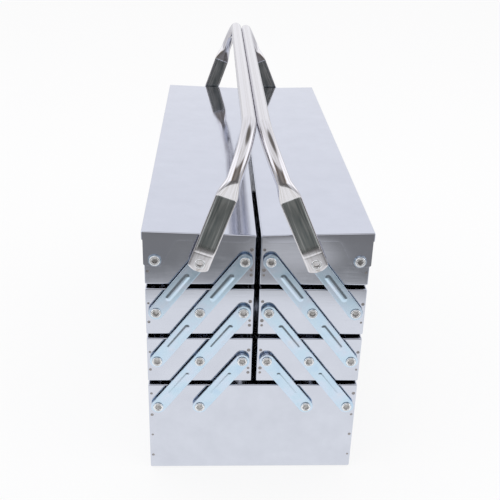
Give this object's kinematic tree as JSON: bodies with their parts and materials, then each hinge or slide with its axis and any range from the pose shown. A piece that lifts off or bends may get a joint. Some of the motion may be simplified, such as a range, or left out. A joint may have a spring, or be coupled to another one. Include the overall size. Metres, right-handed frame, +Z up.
{
  "type": "cantilever tool box",
  "caption": "Polished sheet-steel cantilever tool box whose paired trays spread on parallel links, with hinged lids and two tube handles.",
  "frame": {"origin": "middle of the bottom face of the bottom box", "axes": "+X across the width to the right, +Y along the length to the rear end, +Z up"},
  "size_m": [0.2042, 0.535, 0.3546],
  "materials": {
    "polished_sheet": "mirror-polished stainless sheet",
    "lid_sheet": "mirror-polished stainless sheet",
    "handle_tube": "satin-polished steel tube",
    "link_zinc": "bright blue-white zinc plate",
    "rivet": "bright plated tubular rivet"
  },
  "bodies": {
    "base": {"base_pan": "polished_sheet", "base_rivets": "rivet", "base_washers": "link_zinc"},
    "left_lower_links": {"left_lower_link_front": "link_zinc", "left_lower_link_rear": "link_zinc"},
    "left_base_links": {"left_base_link_front": "link_zinc", "left_base_link_rear": "link_zinc"},
    "left_lower_tray": {"left_lower_pan": "polished_sheet", "left_lower_rivets": "rivet", "left_lower_washers": "link_zinc"},
    "left_middle_links": {"left_middle_link_front": "link_zinc", "left_middle_link_rear": "link_zinc"},
    "left_middle_tray": {"left_middle_pan": "polished_sheet", "left_middle_rivets": "rivet", "left_middle_washers": "link_zinc", "left_middle_divider": "polished_sheet"},
    "left_upper_links": {"left_upper_link_front": "link_zinc", "left_upper_link_rear": "link_zinc"},
    "left_upper_tray": {"left_upper_pan": "polished_sheet", "left_upper_rivets": "rivet", "left_upper_washers": "link_zinc", "left_upper_dividers": "polished_sheet", "left_lid_rivets": "rivet", "left_lid_washers": "link_zinc", "left_handle_rivets": "rivet"},
    "left_lid_body": {"left_lid": "lid_sheet"},
    "left_handle_body": {"left_handle": "handle_tube"},
    "right_lower_links": {"right_lower_link_front": "link_zinc", "right_lower_link_rear": "link_zinc"},
    "right_base_links": {"right_base_link_front": "link_zinc", "right_base_link_rear": "link_zinc"},
    "right_lower_tray": {"right_lower_pan": "polished_sheet", "right_lower_rivets": "rivet", "right_lower_washers": "link_zinc"},
    "right_middle_links": {"right_middle_link_front": "link_zinc", "right_middle_link_rear": "link_zinc"},
    "right_middle_tray": {"right_middle_pan": "polished_sheet", "right_middle_rivets": "rivet", "right_middle_washers": "link_zinc", "right_middle_divider": "polished_sheet"},
    "right_upper_links": {"right_upper_link_front": "link_zinc", "right_upper_link_rear": "link_zinc"},
    "right_upper_tray": {"right_upper_pan": "polished_sheet", "right_upper_rivets": "rivet", "right_upper_washers": "link_zinc", "right_upper_dividers": "polished_sheet", "right_lid_rivets": "rivet", "right_lid_washers": "link_zinc", "right_handle_rivets": "rivet"},
    "right_lid_body": {"right_lid": "lid_sheet"},
    "right_handle_body": {"right_handle": "handle_tube"}
  },
  "joints": [
    {"name": "left_fold", "type": "hinge", "parent": "base", "child": "left_lower_links", "pos_m": [-0.0905, 0, 0.0775], "axis": [0, -1, 0], "range_deg": [0, 80]},
    {"name": "left_base_link_pivot", "type": "hinge", "parent": "base", "child": "left_base_links", "pos_m": [-0.051, 0, 0.0775], "axis": [0, -1, 0], "range_deg": [0, 80]},
    {"name": "left_lower_tray_pivot", "type": "hinge", "parent": "left_lower_links", "child": "left_lower_tray", "pos_m": [-0.051, 0, 0.1294], "axis": [0, -1, 0], "range_deg": [-80, 0]},
    {"name": "left_middle_link_pivot", "type": "hinge", "parent": "left_lower_tray", "child": "left_middle_links", "pos_m": [-0.0905, 0, 0.1294], "axis": [0, -1, 0], "range_deg": [0, 80]},
    {"name": "left_middle_tray_pivot", "type": "hinge", "parent": "left_middle_links", "child": "left_middle_tray", "pos_m": [-0.051, 0, 0.1813], "axis": [0, -1, 0], "range_deg": [-80, 0]},
    {"name": "left_upper_link_pivot", "type": "hinge", "parent": "left_middle_tray", "child": "left_upper_links", "pos_m": [-0.0905, 0, 0.1813], "axis": [0, -1, 0], "range_deg": [0, 80]},
    {"name": "left_upper_tray_pivot", "type": "hinge", "parent": "left_upper_links", "child": "left_upper_tray", "pos_m": [-0.051, 0, 0.2332], "axis": [0, -1, 0], "range_deg": [-80, 0]},
    {"name": "left_lid_hinge", "type": "hinge", "parent": "left_upper_tray", "child": "left_lid_body", "pos_m": [-0.0905, 0, 0.2332], "axis": [0, -1, 0], "range_deg": [0, 120]},
    {"name": "left_handle_pivot", "type": "hinge", "parent": "left_upper_tray", "child": "left_handle_body", "pos_m": [-0.051, 0, 0.2332], "axis": [0, -1, 0], "range_deg": [0, 129.6]},
    {"name": "right_fold", "type": "hinge", "parent": "base", "child": "right_lower_links", "pos_m": [0.0905, 0, 0.0775], "axis": [0, 1, 0], "range_deg": [0, 80]},
    {"name": "right_base_link_pivot", "type": "hinge", "parent": "base", "child": "right_base_links", "pos_m": [0.051, 0, 0.0775], "axis": [0, 1, 0], "range_deg": [0, 80]},
    {"name": "right_lower_tray_pivot", "type": "hinge", "parent": "right_lower_links", "child": "right_lower_tray", "pos_m": [0.051, 0, 0.1294], "axis": [0, 1, 0], "range_deg": [-80, 0]},
    {"name": "right_middle_link_pivot", "type": "hinge", "parent": "right_lower_tray", "child": "right_middle_links", "pos_m": [0.0905, 0, 0.1294], "axis": [0, 1, 0], "range_deg": [0, 80]},
    {"name": "right_middle_tray_pivot", "type": "hinge", "parent": "right_middle_links", "child": "right_middle_tray", "pos_m": [0.051, 0, 0.1813], "axis": [0, 1, 0], "range_deg": [-80, 0]},
    {"name": "right_upper_link_pivot", "type": "hinge", "parent": "right_middle_tray", "child": "right_upper_links", "pos_m": [0.0905, 0, 0.1813], "axis": [0, 1, 0], "range_deg": [0, 80]},
    {"name": "right_upper_tray_pivot", "type": "hinge", "parent": "right_upper_links", "child": "right_upper_tray", "pos_m": [0.051, 0, 0.2332], "axis": [0, 1, 0], "range_deg": [-80, 0]},
    {"name": "right_lid_hinge", "type": "hinge", "parent": "right_upper_tray", "child": "right_lid_body", "pos_m": [0.0905, 0, 0.2332], "axis": [0, 1, 0], "range_deg": [0, 120]},
    {"name": "right_handle_pivot", "type": "hinge", "parent": "right_upper_tray", "child": "right_handle_body", "pos_m": [0.051, 0, 0.2332], "axis": [0, 1, 0], "range_deg": [0, 133.2]}
  ],
  "couplings": [
    {"joint": "left_base_link_pivot", "follows": "left_fold", "ratio": 1},
    {"joint": "left_lower_tray_pivot", "follows": "left_fold", "ratio": -1},
    {"joint": "left_middle_link_pivot", "follows": "left_fold", "ratio": 1},
    {"joint": "left_middle_tray_pivot", "follows": "left_fold", "ratio": -1},
    {"joint": "left_upper_link_pivot", "follows": "left_fold", "ratio": 1},
    {"joint": "left_upper_tray_pivot", "follows": "left_fold", "ratio": -1},
    {"joint": "right_base_link_pivot", "follows": "right_fold", "ratio": 1},
    {"joint": "right_lower_tray_pivot", "follows": "right_fold", "ratio": -1},
    {"joint": "right_middle_link_pivot", "follows": "right_fold", "ratio": 1},
    {"joint": "right_middle_tray_pivot", "follows": "right_fold", "ratio": -1},
    {"joint": "right_upper_link_pivot", "follows": "right_fold", "ratio": 1},
    {"joint": "right_upper_tray_pivot", "follows": "right_fold", "ratio": -1}
  ]
}
